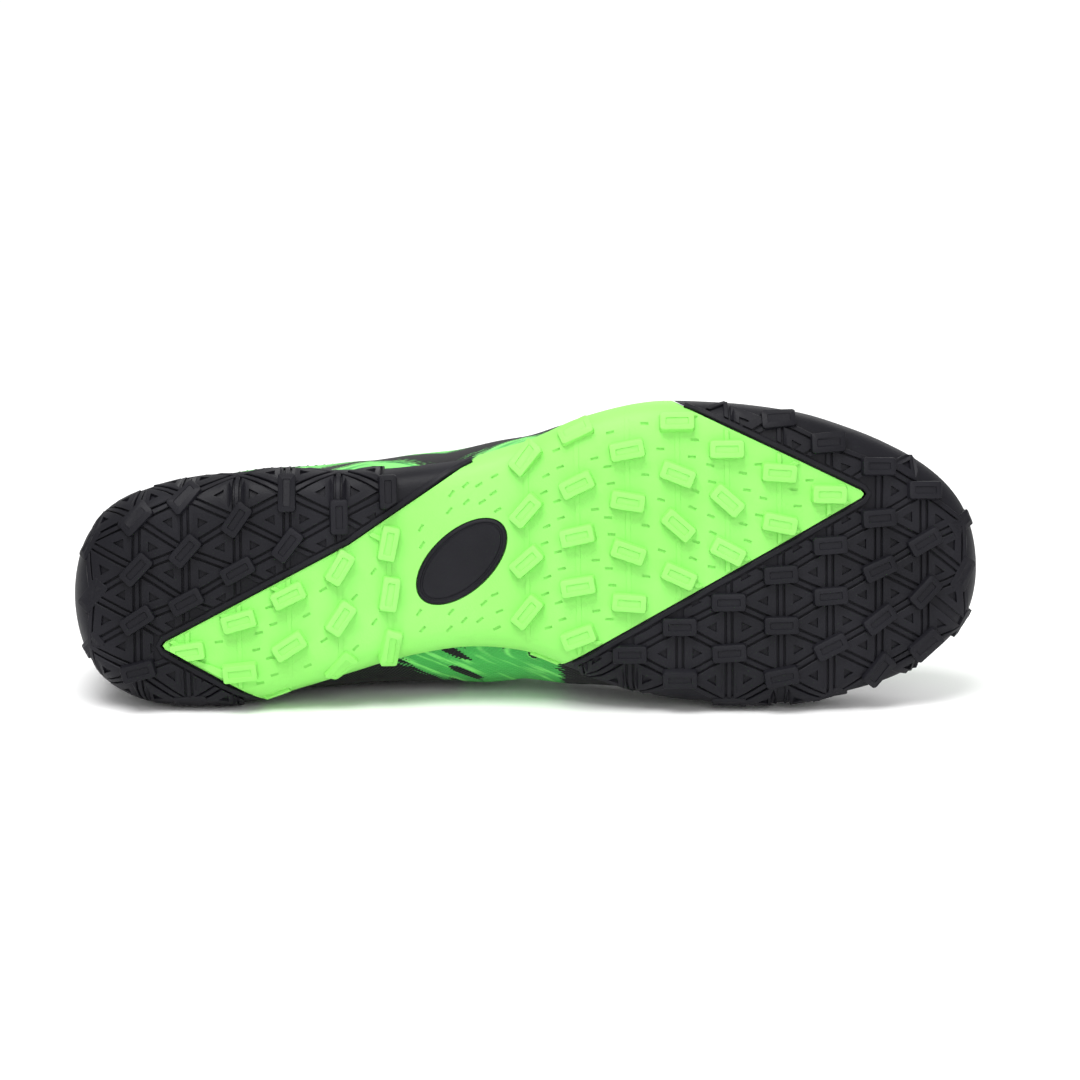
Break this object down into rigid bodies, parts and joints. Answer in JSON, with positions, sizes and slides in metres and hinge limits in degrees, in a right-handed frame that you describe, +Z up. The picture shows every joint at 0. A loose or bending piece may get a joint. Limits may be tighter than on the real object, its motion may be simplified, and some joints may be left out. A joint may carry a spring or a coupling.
{
  "type": "turf shoe",
  "caption": "Right turf shoe lying on its medial side, with a black and green lugged rubber outsole, a low printed upper, tongue, insole and lace.",
  "frame": {"origin": "middle of the floor under the shoe as it lies, at the height of the floor", "axes": "+X towards the toe, +Z up from the floor to the lateral side, -Y the way the sole faces"},
  "size_m": [0.2898, 0.1186, 0.0983],
  "materials": {
    "black_rubber": "satin",
    "green_rubber": "satin",
    "printed_upper": "matte",
    "tongue_cloth": "matte",
    "sock_cloth": "matte",
    "lace_cloth": "matte"
  },
  "bodies": {
    "root": {"outsole_heel": "black_rubber", "outsole_centre": "green_rubber", "outsole_toe": "black_rubber", "sole_badge": "black_rubber", "insole": "sock_cloth", "upper": "printed_upper", "tongue": "tongue_cloth", "lace": "lace_cloth"}
  },
  "joints": []
}
